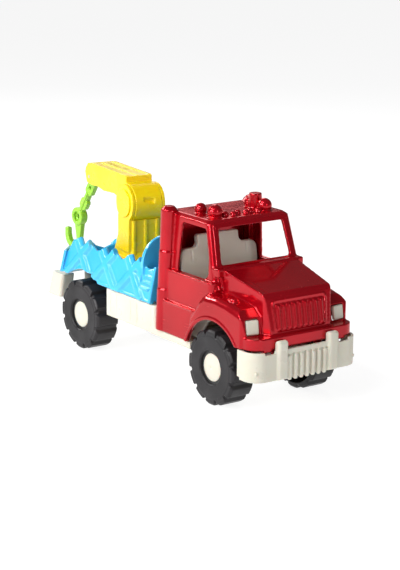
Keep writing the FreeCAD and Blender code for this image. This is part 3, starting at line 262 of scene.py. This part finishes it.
def steel_bar():
    """Drawn bright steel: fine lines round the rod and faint dull patches."""
    material = shader("drawn_steel", (0.62, 0.62, 0.64), 0.28, Metallic=1.0)
    nodes = Nodes(material)
    lines = nodes.noise(STEEL_LINE_SCALE, 3, nodes.stretched((1.0, 8.0, 1.0)))
    dull = nodes.mapped(nodes.noise(STEEL_DULL_SCALE, 4), 0.4, 0.65, 0.0, 1.0)
    nodes.feed("Base Color", nodes.mix(dull, (0.64, 0.64, 0.66, 1), (0.42, 0.41, 0.41, 1)))
    nodes.feed("Roughness", nodes.mapped(lines, 0.3, 0.7, 0.18, 0.42))
    nodes.feed("Normal", nodes.bump(lines, 0.12, GRAIN_DEPTH))
    return material


# the third colour of each plastic is its paler edge colour: rubbed wear plus a painted highlight
RED = plastic("red_gloss", (0.50, 0.003, 0.012), (0.38, 0.001, 0.008), (0.68, 0.03, 0.04), 0.19,
              grain=0.004, peel=0.02, wear_and_highlight=0.2, Metallic=0.55, Coat_Weight=0.45, Coat_Roughness=0.04,
              Specular_Tint=(1.0, 0.25, 0.28, 1))
BLUE = plastic("blue_gloss", (0.05, 0.50, 0.86), (0.03, 0.42, 0.80), (0.35, 0.78, 0.98), 0.15,
               wear_and_highlight=0.4, IOR=1.5, Coat_Weight=0.7, Coat_Roughness=0.08, Subsurface_Weight=0.08,
               Subsurface_Scale=0.003)
YELLOW = plastic("yellow_satin", (0.96, 0.74, 0.003), (0.93, 0.66, 0.0), (1.0, 0.86, 0.10), 0.30,
                 grain=0.08, wear_and_highlight=0.3, Subsurface_Weight=0.12, Subsurface_Scale=0.004)
GREEN = plastic("green_satin", (0.33, 0.64, 0.045), (0.26, 0.56, 0.03), (0.50, 0.80, 0.15), 0.30,
                grain=0.06, Subsurface_Weight=0.1, Subsurface_Scale=0.003)
IVORY = plastic("ivory_satin", (0.68, 0.655, 0.56), (0.62, 0.59, 0.49), (0.79, 0.77, 0.69), 0.34,
                grain=0.10, Subsurface_Weight=0.15, Subsurface_Scale=0.004)
BLACK = plastic("black_satin", (0.018, 0.018, 0.018), (0.012, 0.012, 0.012), (0.08, 0.08, 0.08), 0.4,
                grain=0.12)
TYRE = tyre_plastic()
STEEL = steel_bar()
finishes = {"ivory_plastic": IVORY, "red_plastic": RED, "blue_plastic": BLUE, "yellow_plastic": YELLOW,
            "green_plastic": GREEN, "black_tyre": TYRE, "black_plastic": BLACK, "steel": STEEL}
slots = {part["node"]: part["material_slot"] for part in frame["record"]["subparts"]}
bodies = {node: body for body, nodes in frame["record"]["behaviour"]["bodies"].items() for node in nodes}
for name, node in frame["nodes"].items():
    node.data.materials.clear()
    node.data.materials.append(finishes[slots[name]])


# ---- mouldings --------------------------------------------------------------------------------
SOFTENING = 0.5


def points_of(piece):
    """The piece's vertices as truck-frame millimetres, and its vertex normals."""
    mesh = piece.data
    places = np.empty(len(mesh.vertices) * 3)
    mesh.vertices.foreach_get("co", places)
    places = places.reshape(-1, 3) / MM
    places[:, 0] -= middle_x / MM
    normals = np.empty(len(mesh.vertices) * 3, dtype=np.float32)
    mesh.vertex_normals.foreach_get("vector", normals)
    return places, normals.reshape(-1, 3)


def put_points(piece, places):
    places = places.copy()
    places[:, 0] += middle_x / MM
    piece.data.vertices.foreach_set("co", (places * MM).ravel())
    piece.data.update()


def press_line(places, normals, start, end, width, depth):
    """Press a round-bottomed groove (or raise a bead, if depth is negative) along a straight line."""
    start, end = np.array(start, float), np.array(end, float)
    run = end - start
    share = np.clip(((places - start) @ run) / (run @ run), 0, 1)
    away = np.linalg.norm(places - start - share[:, None] * run, axis=1)
    fall = np.clip(1 - away / width, 0, 1)
    fall = fall * fall * (3 - 2 * fall)
    return places - normals * (fall * depth)[:, None]


def moulded(node, voxel, smoothing, lines=()):
    """A softened copy of a CAD moulding: every edge gets a small radius, and fine lines are pressed in.

    voxel is the skin's resolution in millimetres, and each line is (start, end, width, depth).
    """
    piece = frame["nodes"][node].copy()
    piece.data = piece.data.copy()
    piece.name = node + "_moulding"
    for key in list(piece.keys()):
        del piece[key]
    piece.parent = None
    bpy.context.scene.collection.objects.link(piece)
    bpy.ops.object.select_all(action="DESELECT")
    piece.select_set(True)
    bpy.context.view_layer.objects.active = piece
    remesh = piece.modifiers.new("skin", "REMESH")
    remesh.mode = "VOXEL"
    remesh.voxel_size = voxel * MM
    soften = piece.modifiers.new("soften", "SMOOTH")
    soften.factor = SOFTENING
    soften.iterations = smoothing
    for modifier in ("skin", "soften"):
        bpy.ops.object.modifier_apply(modifier=modifier)
    if lines:
        places, normals = points_of(piece)
        for start, end, width, depth in lines:
            places = press_line(places, normals, start, end, width, depth)
        put_points(piece, places)
    piece.data.materials.clear()
    piece.data.materials.append(finishes[slots[node]])
    piece.data.polygons.foreach_set("use_smooth", [True] * len(piece.data.polygons))
    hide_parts(node)
    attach(piece, bodies[node])
    return piece


def both_sides(lines):
    """The lines and their mirror images about the truck's centre plane."""
    flip = [((a[0], -a[1], a[2]), (b[0], -b[1], b[2]), width, depth) for a, b, width, depth in lines]
    return lines + flip


CAB_LINES = both_sides([
    ((119.0, 50.5, 144), (104.5, 46.8, 180), 1.6, 0.9),          # groove up the windshield pillar
    ((124, 40.0, 140.3), (182, 36.5, 126.0), 1.4, 0.5),          # crease along the hood
])
SEAT_LINES = both_sides([((50, 36, 88), (48, 36, 144), 1.6, 0.7), ((56, 34, 91.2), (84, 34, 91.2), 1.6, 0.6)])

moulded("cab_shell", 0.7, 7, CAB_LINES)
moulded("chassis", 0.7, 2)
moulded("bed", 0.7, 2)
moulded("crane_boom", 0.6, 2)
moulded("crane_column", 0.6, 2)
moulded("tow_hook", 0.45, 3)
moulded("seat", 0.8, 3, SEAT_LINES)
for end in ("front", "rear"):
    for side in ("left", "right"):
        moulded("tyre_%s_%s" % (end, side), 0.6, 3)
        moulded("hubcap_%s_%s" % (end, side), 0.35, 2)
for side in ("left", "right"):
    moulded("headlight_" + side, 0.35, 2)
    moulded("boom_cap_" + side, 0.45, 2)
